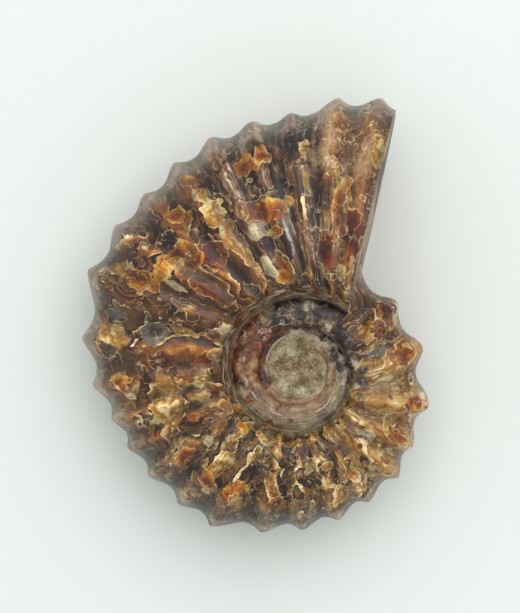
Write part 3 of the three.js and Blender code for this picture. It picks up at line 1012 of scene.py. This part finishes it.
@dataclass(frozen=True)
class PolishedShell:
    """Calcite and aragonite shell, stained by iron, ground down and polished.

    Grinding cuts through thin layers, so each shows as a band: mauve-brown filling at the bottom,
    then rust, amber and gold, and a thin pale line where the layer ends. Its edges are frilled.
    Clear calcite lies over the colours and looks smoky round the outside.
    """

    lobe: float = 7.0  # mm, width of the lobes that the layers form
    chip: float = 5.2  # mm, width of the flecks of the fine mosaic
    frill: float = 1.5  # mm, waves of their edges
    nick: float = 3.0  # mm, larger notches in the edges of single patches
    worn: float = 4.0  # mm, spots where a layer is ground down to its lower half
    worn_chip: float = 2.6  # mm, the same in the mosaic
    fibre: float = 0.4  # mm, streaks along the ribs
    cloud: float = 3.2  # mm, clouding of the fillings
    grit: float = 0.35  # mm, grains of sediment
    zone_edge: float = 2.6  # mm, fraying where one kind of filling meets another
    pocket: float = 2.4  # mm, dark pockets
    edge_run: float = 2.0  # mm, stretches of a patch's pale edge
    soft_spot: float = 4.0  # mm, stretches where a patch's edge is blurred
    growth: float = 0.4  # mm, growth lines on the umbilical wall
    line_gap: float = 4.0  # mm, gaps in the line round the umbilicus
    inner_patch: float = 1.8  # mm, mottling of the inner whorl
    inner_fray: float = 1.7  # mm, fraying of its zones
    pore: float = 0.3  # mm, dark pores in the core
    threads: Curls = Curls(0.8, 2.4, (0.47, 0.6), (0.06, 0.015), 0.6, detail=0.0)  # in the sediment
    cracks: Curls = Curls(1.3, 3.0, (0.44, 0.58), (0.02, 0.004), 0.55)  # everywhere
    painted_glints: Curls = Curls(1.3, 3.0, (0.5, 0.6), (0.02, 0.005), 0.7, group_detail=1.0)  # painted glints of reflected light on the inner whorl
    ior: float = 1.55  # between calcite's and aragonite's
    roughness: float = 0.36  # a hand polish with fine pits
    specular: float = 0.3
    coat: float = 0.26  # the glossiest of the polish
    coat_roughness: float = 0.07
    bump_height: float = 0.25  # mm
    depth: float = 1.3  # the gloss and the clear layer over the colours deepen them
    richness: float = 1.1
    gain: float = 1.18
    amber: Stops = (
        (0.0, "#341d12"), (1.0, "#ddd0b0"), (0.12, "#53351f"), (0.34, "#6f553f"), (0.5, "#7a5034"),
        (0.66, "#916842"), (0.82, "#a9895c"), (0.93, "#c2ad86"), (0.965, "#dccfb2"),
    )  # fmt: skip
    slate: Stops = (
        (0.0, "#1f1718"), (1.0, "#a8a39c"), (0.3, "#3a2c28"), (0.5, "#5d483d"), (0.66, "#785a44"),
        (0.86, "#85786b"),
    )  # fmt: skip
    matte: Stops = (
        (0.0, "#3b2a22"), (1.0, "#b39c7f"), (0.25, "#634832"), (0.45, "#7c5c40"), (0.62, "#8a6f56"),
        (0.82, "#9b846c"),
    )  # fmt: skip
    mosaic: Stops = (
        (0.0, "#2b1b11"), (1.0, "#cdc0a4"), (0.14, "#4f3824"), (0.28, "#6c5c4a"), (0.4, "#785436"),
        (0.56, "#8f6e44"), (0.72, "#a08862"), (0.86, "#b3a280"),
    )  # fmt: skip
    honey: Stops = (
        (0.0, "#4c2a1c"), (1.0, "#c9bda0"), (0.2, "#70462a"), (0.38, "#8a6440"), (0.56, "#9a7d54"),
        (0.76, "#a8946e"),
    )  # fmt: skip
    wall: Stops = (
        (0.0, "#1f1410"), (1.0, "#c2b396"), (0.3, "#43301f"), (0.5, "#66503c"), (0.66, "#7a705d"),
        (0.82, "#97866a"),
    )  # fmt: skip
    rim: Stops = ((0.0, "#231e18"), (1.0, "#a79a86"), (0.3, "#4a4537"), (0.6, "#716856"))
    navy: Stops = (
        (0.0, "#1a1218"), (1.0, "#bdb299"), (0.25, "#2e242b"), (0.42, "#4a3932"), (0.58, "#644f39"),
        (0.78, "#857960"),
    )  # fmt: skip
    russet: Stops = (
        (0.0, "#331a13"), (1.0, "#a98660"), (0.35, "#65341d"), (0.6, "#84492a"), (0.8, "#8f6c4c"),
    )  # fmt: skip
    rose: Stops = ((0.0, "#64493a"), (1.0, "#d8c9a8"), (0.35, "#85654a"), (0.6, "#a0805c"), (0.8, "#b29872"))
    moss: Stops = ((0.0, "#50442f"), (1.0, "#d9cdae"), (0.35, "#80755e"), (0.6, "#999279"), (0.8, "#b7ad92"))
    core: Stops = ((0.0, "#4a361f"), (1.0, "#c8bea4"), (0.3, "#7b6340"), (0.5, "#92805f"), (0.75, "#a89c7c"))
    tan: Stops = ((0.0, "#cdbb92"), (1.0, "#c4b48e"), (0.25, "#ae8e5c"), (0.5, "#8f6a40"), (0.75, "#ab9066"))
    white: Stops = ((0.0, "#b5aa90"), (1.0, "#bcb29a"), (0.4, "#9e937b"))
    dark: Stops = ((0.0, "#543a2a"), (1.0, "#1f1614"), (0.35, "#38251d"))
    glow: Stops = ((0.0, "#c2a672"), (1.0, "#613219"), (0.22, "#ac8047"), (0.5, "#915a30"), (0.75, "#784426"))
    rust: Stops = ((0.0, "#96693f"), (1.0, "#4c2618"), (0.3, "#784426"))
    blue_grey: Stops = ((0.0, "#75675a"), (1.0, "#463b36"), (0.4, "#7c7267"), (0.7, "#655a50"))
    thread: str = "#d3c3a2"
    pocket_colour: str = "#2c180f"
    pore_colour: str = "#3a2f22"
    # colour of the painted glints
    glint_colour: str = "#c9b0ab"

    def patterns(self, add: Add) -> Patterns:
        """Works out what the layers share, from the attributes that FossilMesh writes.

        Args:
            add: adds a node to the material.

        Returns:
            The patterns.
        """
        metres = add("TexCoord").outputs["Object"]
        place = add("VectorMath", metres, (1 / MM,) * 3, operation="MULTIPLY")
        flank = add("Attribute", attribute_name="flank")
        crest, across, inner = add("SeparateXYZ", add("Attribute", attribute_name="form")).outputs
        zones = [add("Attribute", attribute_name=name) for name in ZONE_ATTRIBUTES]
        zones = [output for zone in zones for output in add("SeparateXYZ", zone).outputs]

        # the layers' edges are wide lobes with waves on them
        swirl = add("TexNoise", place, Scale=1 / self.lobe).outputs["Color"]
        swirl = add("VectorMath", swirl, (9.0,) * 3, (-4.5,) * 3, operation="MULTIPLY_ADD")
        waves = add("TexNoise", place, Scale=1 / self.frill, Roughness=0.45)
        ripple = add("VectorMath", waves.outputs["Color"], (1.4,) * 3, (-0.7,) * 3, operation="MULTIPLY_ADD")
        ribwise = add("VectorMath", flank, (1.0, 0.6, 1.0), ripple, operation="MULTIPLY_ADD")
        bent = add("VectorMath", ribwise, swirl, operation="ADD")

        # patterns that mustn't repeat one another are read from places far apart
        layer = add("TexNoise", bent, Scale=1 / self.lobe, Detail=1.0)
        layer = add("Math", add("Math", layer, 7.0, operation="MULTIPLY"), operation="FRACT")
        worn = add("TexNoise", add("VectorMath", bent, (40.0, 0, 0), operation="ADD"), Scale=1 / self.worn)
        worn = add("MapRange", worn, 0.41, 0.57, **SMOOTH)
        worn = add("Math", worn, 0.6, 0.4, operation="MULTIPLY_ADD")

        streak = add("VectorMath", waves.outputs["Color"], (0.5,) * 3, operation="MULTIPLY")
        streak = add("VectorMath", flank, (1.0, 0.14, 1.0), streak, operation="MULTIPLY_ADD")
        streak = add("TexNoise", streak, Scale=1 / self.fibre)
        cloud = add("TexNoise", ribwise, Scale=1 / self.cloud, Detail=4.0, Roughness=0.6)
        clouded = add("Math", cloud, 1.2, -0.95, operation="MULTIPLY_ADD")
        shifts = add("TexNoise", bent, Scale=1 / self.zone_edge, Detail=3.0).outputs["Color"]
        shifts = add("VectorMath", shifts, (1.8,) * 3, (-0.9,) * 3, operation="MULTIPLY_ADD")

        along, up, level = add("SeparateXYZ", flank).outputs
        lines = add("CombineXYZ", along, add("Math", cloud, 1.2, up, operation="MULTIPLY_ADD"), level)
        lines = add("VectorMath", lines, (0.1, 1.0, 1.0), operation="MULTIPLY")
        lines = add("TexNoise", lines, Scale=1 / self.growth, Detail=3.0, Roughness=0.6)
        patchy = add("TexNoise", place, Scale=1 / self.inner_patch, Detail=4.0, Roughness=0.65)
        broken = add("TexNoise", place, Scale=1 / self.line_gap, Detail=1.0)
        return Patterns(
            place=place,
            crest=crest,
            across=across,
            inner=inner,
            zone=dict(zip(ZONE_NAMES, zones)),
            shifts=tuple(add("SeparateXYZ", shifts).outputs),
            waves=waves,
            ribwise=ribwise,
            bent=bent,
            layer=add("Math", layer, worn, operation="MULTIPLY"),
            streak=streak,
            cloud=cloud,
            spread=add("Math", cloud, 2.4, -0.7, operation="MULTIPLY_ADD"),
            streaked=add("Math", streak, 1.7, clouded, operation="MULTIPLY_ADD"),
            grit=add("TexNoise", place, Scale=1 / self.grit, Detail=3.0, Roughness=0.75),
            patchy=add("Math", patchy, 4.0, -1.6, operation="MULTIPLY_ADD"),
            lines=add("Math", lines, 4.4, -1.72, operation="MULTIPLY_ADD"),
            broken=add("MapRange", broken, 0.4, 0.55, To_Max=0.7, **SMOOTH),
        )

    def fillings(self, add: Add, seen: Patterns) -> Output:
        """Colours the ground under the patches: one kind of filling over another, zone by zone.

        Args:
            add: adds a node to the material.
            seen: the patterns.

        Returns:
            The ground's colour.
        """
        sediment = add("ValToRGB", seen.spread, stops=self.matte)
        threads = self.threads.share(add, seen.place, seen.place)
        sediment = add("Mix", threads, sediment, linear(self.thread), **COLOURS)

        fleck = add("VectorMath", seen.bent, (0, 70.0, 0), operation="ADD")
        fleck = add("Math", add("TexNoise", fleck, Scale=1 / self.chip), 5.0, operation="MULTIPLY")
        worn = add("MapRange", add("TexNoise", seen.ribwise, Scale=1 / self.worn_chip), 0.4, 0.56, **SMOOTH)
        worn = add("Math", worn, 0.62, 0.38, operation="MULTIPLY_ADD")
        fleck = add("Math", add("Math", fleck, operation="FRACT"), worn, operation="MULTIPLY")
        speckle = add("Math", seen.grit, add("Math", fleck, 0.5, operation="SUBTRACT"), operation="ADD")
        honeyed = add("Math", seen.cloud, 1.6, -0.45, operation="MULTIPLY_ADD")
        honeyed = add("Math", seen.layer, 0.6, honeyed, operation="MULTIPLY_ADD")
        kinds = (
            ("sediment", sediment),
            ("slate", add("ValToRGB", seen.streaked, stops=self.slate)),
            ("mosaic", add("ValToRGB", speckle, stops=self.mosaic)),
            ("honey", add("ValToRGB", honeyed, stops=self.honey)),
        )
        ground = add("ValToRGB", seen.layer, stops=self.amber)
        for (name, colour), shift in zip(kinds, (*seen.shifts, seen.shifts[0])):
            share = add("Math", seen.zone[name], shift, operation="ADD")
            ground = add("Mix", add("MapRange", share, 0.4, 0.6, **SMOOTH), ground, colour, **COLOURS)

        pocket = add("VectorMath", seen.bent, (0, 0, 90.0), operation="ADD")
        pocket = add("TexNoise", pocket, Scale=1 / self.pocket, Detail=3.0)
        pocket = add("Math", seen.zone["sediment"], 0.2, pocket, operation="MULTIPLY_ADD")
        pocket = add("Math", seen.zone["honey"], 0.1, pocket, operation="MULTIPLY_ADD")
        pocket = add("MapRange", pocket, 0.41, 0.36, To_Max=0.95, **SMOOTH)
        return add("Mix", pocket, ground, linear(self.pocket_colour), **COLOURS)

    def patches(self, add: Add, seen: Patterns, ground: Output) -> Output:
        """Lays the single patches down, each with a thin pale edge along part of its outline.

        Args:
            add: adds a node to the material.
            seen: the patterns.
            ground: the colour under them.

        Returns:
            The colour with them.
        """
        marks = {name: add("Attribute", attribute_name=name) for name in MARK_ATTRIBUTES}
        marks = {name: add("SeparateXYZ", mark).outputs for name, mark in marks.items()}
        ragged = add("TexNoise", seen.bent, Scale=1 / self.nick)
        ragged = add("Math", ragged, 1.8, -1.78, operation="MULTIPLY_ADD")
        ragged = add("Math", seen.waves, 1.9, ragged, operation="MULTIPLY_ADD")
        drawn = add("TexNoise", seen.bent, Scale=1 / self.edge_run, Detail=1.0)
        drawn = add("MapRange", drawn, 0.45, 0.55, **SMOOTH)
        soft = add("TexNoise", seen.place, Scale=1 / self.soft_spot, Detail=1.0)
        soft = add("MapRange", soft, 0.42, 0.6, **SMOOTH)
        soft = add("Math", soft, 0.7, 0.05, operation="MULTIPLY_ADD")
        for layer, stops in (
            (Layer.DARK, self.dark),
            (Layer.SLATE, self.blue_grey),
            (Layer.RUSSET, self.rust),
            (Layer.AMBER, self.glow),
            (Layer.TAN, self.tan),
            (Layer.WHITE, self.white),
        ):
            name, channel = layer.value
            depth = add("Math", marks[name][channel], ragged, operation="ADD")
            shade = add("Math", depth, 0.7, seen.spread, operation="MULTIPLY_ADD")
            shade = add("Math", seen.streak, 0.6, shade, operation="MULTIPLY_ADD")
            shade = add("Math", shade, 0.95, operation="SUBTRACT")
            shade = add("Math", seen.layer, 0.5, shade, operation="MULTIPLY_ADD")
            share = add("MapRange", depth, -0.02, soft, **SMOOTH)
            ground = add("Mix", share, ground, add("ValToRGB", shade, stops=stops), **COLOURS)
            edge = add("Math", depth, operation="ABSOLUTE")
            edge = add("MapRange", edge, 0.08, 0.02, To_Max=0.7, **SMOOTH)
            edge = add("Math", edge, drawn, operation="MULTIPLY")
            ground = add("Mix", edge, ground, linear(self.thread), **COLOURS)
        return ground

    def shaded(self, add: Add, seen: Patterns, ground: Output) -> Output:
        """Darkens the valleys and lightens the crests as painted shade and light, mottles all with grains and
        streaks, and deepens all.

        Args:
            add: adds a node to the material.
            seen: the patterns.
            ground: the colour so far.

        Returns:
            The colour with its tones.
        """
        tone = add("Math", seen.grit, 1.3, -0.58, operation="MULTIPLY_ADD")
        tone = add("Math", seen.streak, 1.3, tone, operation="MULTIPLY_ADD")
        # painted light and shade: rib crests and the core's lip lighter, valleys darker
        tone = add("Math", seen.crest, 0.8, tone, operation="MULTIPLY_ADD")
        tone = add("CombineXYZ", tone, tone, tone)
        ground = add("Mix", 1.0, ground, tone, blend_type="MULTIPLY", **COLOURS)
        where = add("VectorMath", seen.ribwise, (9.0,) * 3, operation="ADD")
        cracks = self.cracks.share(add, where, seen.place)
        ground = add("Mix", cracks, ground, linear(self.thread), **COLOURS)
        ground = add("Gamma", ground, self.depth)
        return add("HueSaturation", Saturation=self.richness, Value=self.gain, Color=ground)

    def rim_and_wall(self, add: Add, seen: Patterns, ground: Output) -> Output:
        """Lays smoky clear calcite round the outside, paler on the crests as painted light, and growth lines
        down the umbilical wall.

        Args:
            add: adds a node to the material.
            seen: the patterns.
            ground: the colour so far.

        Returns:
            The colour with both.
        """
        haze = add("Math", seen.streaked, 0.7, -0.4, operation="MULTIPLY_ADD")
        haze = add("Math", seen.grit, 0.9, haze, operation="MULTIPLY_ADD")
        haze = add("Math", seen.zone["mosaic"], -0.5, haze, operation="MULTIPLY_ADD")
        # painted light: the smoky rim is lighter and thinner on the crests
        haze = add("Math", seen.crest, 0.85, haze, operation="MULTIPLY_ADD")
        share = add("Math", seen.crest, -0.3, 0.15, operation="MULTIPLY_ADD")
        share = add("Math", seen.cloud, 1.6, share, operation="MULTIPLY_ADD")
        share = add("Math", seen.zone["smoky"], share, operation="MULTIPLY")
        ground = add("Mix", share, ground, add("ValToRGB", haze, stops=self.rim), **COLOURS)

        share = add("Math", seen.shifts[1], 0.8, seen.zone["layered"], operation="MULTIPLY_ADD")
        share = add("MapRange", share, 0.2, 0.8, To_Max=0.9, **SMOOTH)
        ground = add("Mix", share, ground, add("ValToRGB", seen.lines, stops=self.wall), **COLOURS)
        seam = add("Math", seen.cloud, 0.04, seen.across, operation="MULTIPLY_ADD")
        return self.line(add, seen, ground, seam, 0.05)

    def line(
        self, add: Add, seen: Patterns, ground: Output, where: Output, at: float, share: Output | float = 1.0
    ) -> Output:
        """Draws one long pale line, broken here and there.

        Args:
            add: adds a node to the material.
            seen: the patterns.
            ground: the colour so far.
            where: the value that it follows.
            at: what that value is on it.
            share: where it may show.

        Returns:
            The colour with it.
        """
        near = add("Math", add("Math", where, at, operation="SUBTRACT"), operation="ABSOLUTE")
        near = add("Math", share, add("MapRange", near, 0.01, 0.003, **SMOOTH), operation="MULTIPLY")
        near = add("Math", near, seen.broken, operation="MULTIPLY")
        return add("Mix", near, ground, linear(self.thread), **COLOURS)

    def inner_whorl(self, add: Add, seen: Patterns, ground: Output) -> Output:
        """Colours the inner whorl: rose and moss bands, navy and russet zones and fine pink glints, painted
        reflections of light.

        Args:
            add: adds a node to the material.
            seen: the patterns.
            ground: the colour so far.

        Returns:
            The colour with it.
        """
        veined = add("Math", seen.patchy, 0.6, 0.06, operation="MULTIPLY_ADD")
        veined = add("Math", seen.lines, 0.28, veined, operation="MULTIPLY_ADD")
        ground = add("Mix", seen.inner, ground, add("ValToRGB", veined, stops=self.rose), **COLOURS)
        green = add("Math", seen.patchy, 0.5, operation="MULTIPLY")
        green = add("Math", seen.lines, 0.45, green, operation="MULTIPLY_ADD")
        share = add("MapRange", seen.across, 0.22, 0.36, To_Max=0.75, **SMOOTH)
        share = add("Math", seen.inner, share, operation="MULTIPLY")
        ground = add("Mix", share, ground, add("ValToRGB", green, stops=self.moss), **COLOURS)
        seam = add("Math", seen.cloud, 0.05, seen.across, operation="MULTIPLY_ADD")
        ground = self.line(add, seen, ground, seam, 0.31, seen.inner)

        frayed = add("TexNoise", seen.place, Scale=1 / self.inner_fray, Detail=3.0)
        frayed = add("Math", frayed, 3.0, -1.5, operation="MULTIPLY_ADD")
        for name, stops in (("navy", self.navy), ("russet", self.russet)):
            share = add("Math", frayed, seen.zone[name], operation="ADD")
            share = add("MapRange", share, 0.35, 0.65, To_Max=0.95, **SMOOTH)
            ground = add("Mix", share, ground, add("ValToRGB", seen.patchy, stops=stops), **COLOURS)
        # painted highlight: thin pink glints of reflected light in the navy and russet zones
        painted_glints = self.painted_glints.share(add, seen.place, seen.place)
        both = add("Math", seen.zone["navy"], seen.zone["russet"], operation="ADD")
        painted_glints = add("Math", both, painted_glints, operation="MULTIPLY")
        return add("Mix", painted_glints, ground, linear(self.glint_colour), **COLOURS)

    def core_disc(self, add: Add, seen: Patterns, ground: Output) -> Output:
        """Colours the worn core: gritty, with dark pores, and a broken pale edge that is a painted highlight
        on its lip.

        Args:
            add: adds a node to the material.
            seen: the patterns.
            ground: the colour so far.

        Returns:
            The colour with it.
        """
        core = seen.zone["core"]
        disc = add("Math", seen.patchy, 0.6, -0.42, operation="MULTIPLY_ADD")
        disc = add("Math", seen.grit, 1.3, disc, operation="MULTIPLY_ADD")
        disc = add("ValToRGB", disc, stops=self.core)
        pores = add("TexNoise", seen.place, Scale=1 / self.pore, Detail=1.0)
        pores = add("MapRange", pores, 0.38, 0.3, To_Max=0.8, **SMOOTH)
        disc = add("Mix", pores, disc, linear(self.pore_colour), **COLOURS)
        ground = add("Mix", core, ground, disc, **COLOURS)
        # painted highlight: a broken pale line where the core's lip catches the light
        edge = add("Math", core, add("Math", 1.0, core, operation="SUBTRACT"), operation="MULTIPLY")
        edge = add("Math", add("MapRange", edge, 0.08, 0.2, **SMOOTH), seen.broken, operation="MULTIPLY")
        return add("Mix", edge, ground, linear(self.thread), **COLOURS)

    def build(self) -> bpy.types.Material:
        """Makes the material from the attributes that FossilMesh writes.

        Returns:
            The material.
        """
        material, add = new_material("polished_shell")
        seen = self.patterns(add)
        ground = self.fillings(add, seen)
        for layer in (self.patches, self.shaded, self.rim_and_wall, self.inner_whorl, self.core_disc):
            ground = layer(add, seen, ground)
        lumps = add("Math", seen.waves, add("Math", seen.grit, 0.5, operation="MULTIPLY"), operation="ADD")
        lumps = add("Math", seen.layer, 0.35, lumps, operation="MULTIPLY_ADD")
        bumped = add("Bump", Strength=0.5, Distance=self.bump_height * MM, Height=lumps)
        shader = add(
            "BsdfPrincipled",
            Base_Color=ground,
            Roughness=self.roughness,
            IOR=self.ior,
            Normal=bumped,
            Specular_IOR_Level=self.specular,
            Coat_Weight=self.coat,
            Coat_Roughness=self.coat_roughness,
            Coat_Normal=bumped,
        )
        add("OutputMaterial", shader)
        return material


@dataclass(frozen=True)
class SawnCalcite:
    """The saw cut across the last chamber: sparry calcite and mud inside a thin shell wall.

    The cut was ground and polished. Blocky crystals catch the light as patches of cream and tan,
    the mud stays dull brown, and the wall is a pale ring with a dark line inside it.
    """

    crystal: float = 2.4  # mm, width of a crystal
    grain: float = 1.25  # mm, grain of the mud, which also bends the crystals' edges
    bend: float = 1.5  # mm, how far it bends them
    mud_patch: float = 8.3333  # mm, where mud fills the chamber
    wall_depth: tuple[float, float] = (0.95, 0.85)  # mm from the edge, where the wall ends and is whole
    line_depth: tuple[float, float] = (1.2, 1.05)  # and the line inside it
    waviness: float = 0.8  # mm, of both
    ior: float = 1.5
    roughness: float = 0.5
    specular: float = 0.25
    spar: Stops = ((0.0, "#5f4a35"), (1.0, "#cdbf9f"), (0.4, "#8d7757"), (0.7, "#ad9c78"))
    mud: Stops = ((0.0, "#2e1f17"), (1.0, "#7b5a3c"), (0.5, "#553724"))
    wall: str = "#cabc9c"
    wall_line: str = "#33231a"

    def build(self) -> bpy.types.Material:
        """Makes the material.

        Returns:
            The material.
        """
        material, add = new_material("sawn_calcite")
        place = add("VectorMath", add("TexCoord").outputs["Object"], (1 / MM,) * 3, operation="MULTIPLY")
        depth = add("SeparateXYZ", add("Attribute", attribute_name="form")).outputs[0]
        grain = add("TexNoise", place, Scale=1 / self.grain, Detail=4.0)
        bent = add("VectorMath", grain.outputs["Color"], (self.bend,) * 3, place, operation="MULTIPLY_ADD")
        cells = add("TexVoronoi", bent, Scale=1 / self.crystal)
        tone = add("SeparateXYZ", cells.outputs["Color"]).outputs[0]
        tone = add("Math", add("Math", tone, 0.5, grain, operation="MULTIPLY_ADD"), -0.25, operation="ADD")
        spar = add("ValToRGB", tone, stops=self.spar)
        mud = add("ValToRGB", grain, stops=self.mud)
        muddy = add("TexNoise", place, Scale=1 / self.mud_patch, Detail=3.0)
        face = add("Mix", add("MapRange", muddy, 0.47, 0.53), spar, mud, **COLOURS)
        wavy = add("Math", grain, self.waviness, depth, operation="MULTIPLY_ADD")
        for depths, colour in ((self.line_depth, self.wall_line), (self.wall_depth, self.wall)):
            face = add("Mix", add("MapRange", wavy, *depths), face, linear(colour), **COLOURS)
        shader = add(
            "BsdfPrincipled",
            Base_Color=face,
            Roughness=self.roughness,
            IOR=self.ior,
            Specular_IOR_Level=self.specular,
        )
        add("OutputMaterial", shader)
        return material


@dataclass(frozen=True)
class TableTop:
    """White laminate, pressed with a fine matt grain: an even pale ground with a soft shadow."""

    colour: str = "#e9edea"
    roughness: float = 0.7

    def build(self) -> bpy.types.Material:
        """Makes the material.

        Returns:
            The material.
        """
        material = bpy.data.materials.new("white_laminate")
        material.use_nodes = True
        shader = material.node_tree.nodes["Principled BSDF"]
        shader.inputs["Base Color"].default_value = linear(self.colour)
        shader.inputs["Roughness"].default_value = self.roughness
        return material


@dataclass(frozen=True)
class SoftLight:
    """A square studio light that faces the fossil."""

    name: str
    direction: tuple[float, float, float]
    distance: float
    size: float
    watts: float
    colour: str = "#ffffff"

    def build(self) -> None:
        """Adds the light."""
        data = bpy.data.lights.new(self.name, "AREA")
        data.size, data.energy, data.color = self.size, self.watts, linear(self.colour)[:3]
        light = bpy.data.objects.new(self.name, data)
        bpy.context.scene.collection.objects.link(light)
        towards = Vector(self.direction).normalized()
        light.location = towards * self.distance
        light.rotation_euler = towards.to_track_quat("Z", "Y").to_euler()


@dataclass
class Studio:
    """The view straight down on the table, its top and the light on it. Lengths are metres."""

    eye: tuple[float, float, float] = (0.0006, 0.0012, 0.42)
    frame_height: float = 0.0847
    focus_height: float = 0.011
    table_size: float = 3.0
    sky: str = "#f4f7f5"
    sky_strength: float = 0.84
    lights: tuple[SoftLight, ...] = (
        SoftLight("north_window", (0.15, 0.4, 0.9), 0.5, 0.5, 1.2),
    )

    def camera(self) -> None:
        """Adds the camera, with the top of the view along +Y."""
        data = bpy.data.cameras.new("view")
        data.sensor_fit = "VERTICAL"
        data.sensor_height = 36
        data.lens = data.sensor_height * (self.eye[2] - self.focus_height) / self.frame_height
        data.clip_start = 0.01
        camera = bpy.data.objects.new("view", data)
        camera.location = self.eye
        bpy.context.scene.collection.objects.link(camera)
        bpy.context.scene.camera = camera

    def table(self) -> None:
        """Adds the table top."""
        half = self.table_size / 2
        mesh = bpy.data.meshes.new("table_top")
        corners = [(-half, -half, 0), (half, -half, 0), (half, half, 0), (-half, half, 0)]
        mesh.from_pydata(corners, [], [(0, 1, 2, 3)])
        mesh.materials.append(TableTop().build())
        top = bpy.data.objects.new("table_top", mesh)
        bpy.context.scene.collection.objects.link(top)

    def light(self) -> None:
        """Adds an even sky and the soft lights."""
        world = bpy.data.worlds.new("sky")
        world.use_nodes = True
        background = world.node_tree.nodes["Background"]
        background.inputs["Color"].default_value = linear(self.sky)
        background.inputs["Strength"].default_value = self.sky_strength
        bpy.context.scene.world = world
        for lamp in self.lights:
            lamp.build()
        bpy.context.scene.view_settings.view_transform = "Standard"


def main() -> None:
    """Builds the view, the fossil and its finish, and reports the piece."""
    logging.basicConfig(level=logging.INFO, format="%(name)s: %(message)s")
    studio = Studio()
    studio.camera()
    studio.table()
    studio.light()
    fossil = FossilMesh(Whorls()).build()
    fossil.data.materials.append(PolishedShell().build())
    fossil.data.materials.append(SawnCalcite().build())
    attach(fossil, "root")
    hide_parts(NODE)
    mesh = fossil.data
    log.info("%s: %d vertices, %d faces", fossil.name, len(mesh.vertices), len(mesh.polygons))


if __name__ == "__main__":
    main()
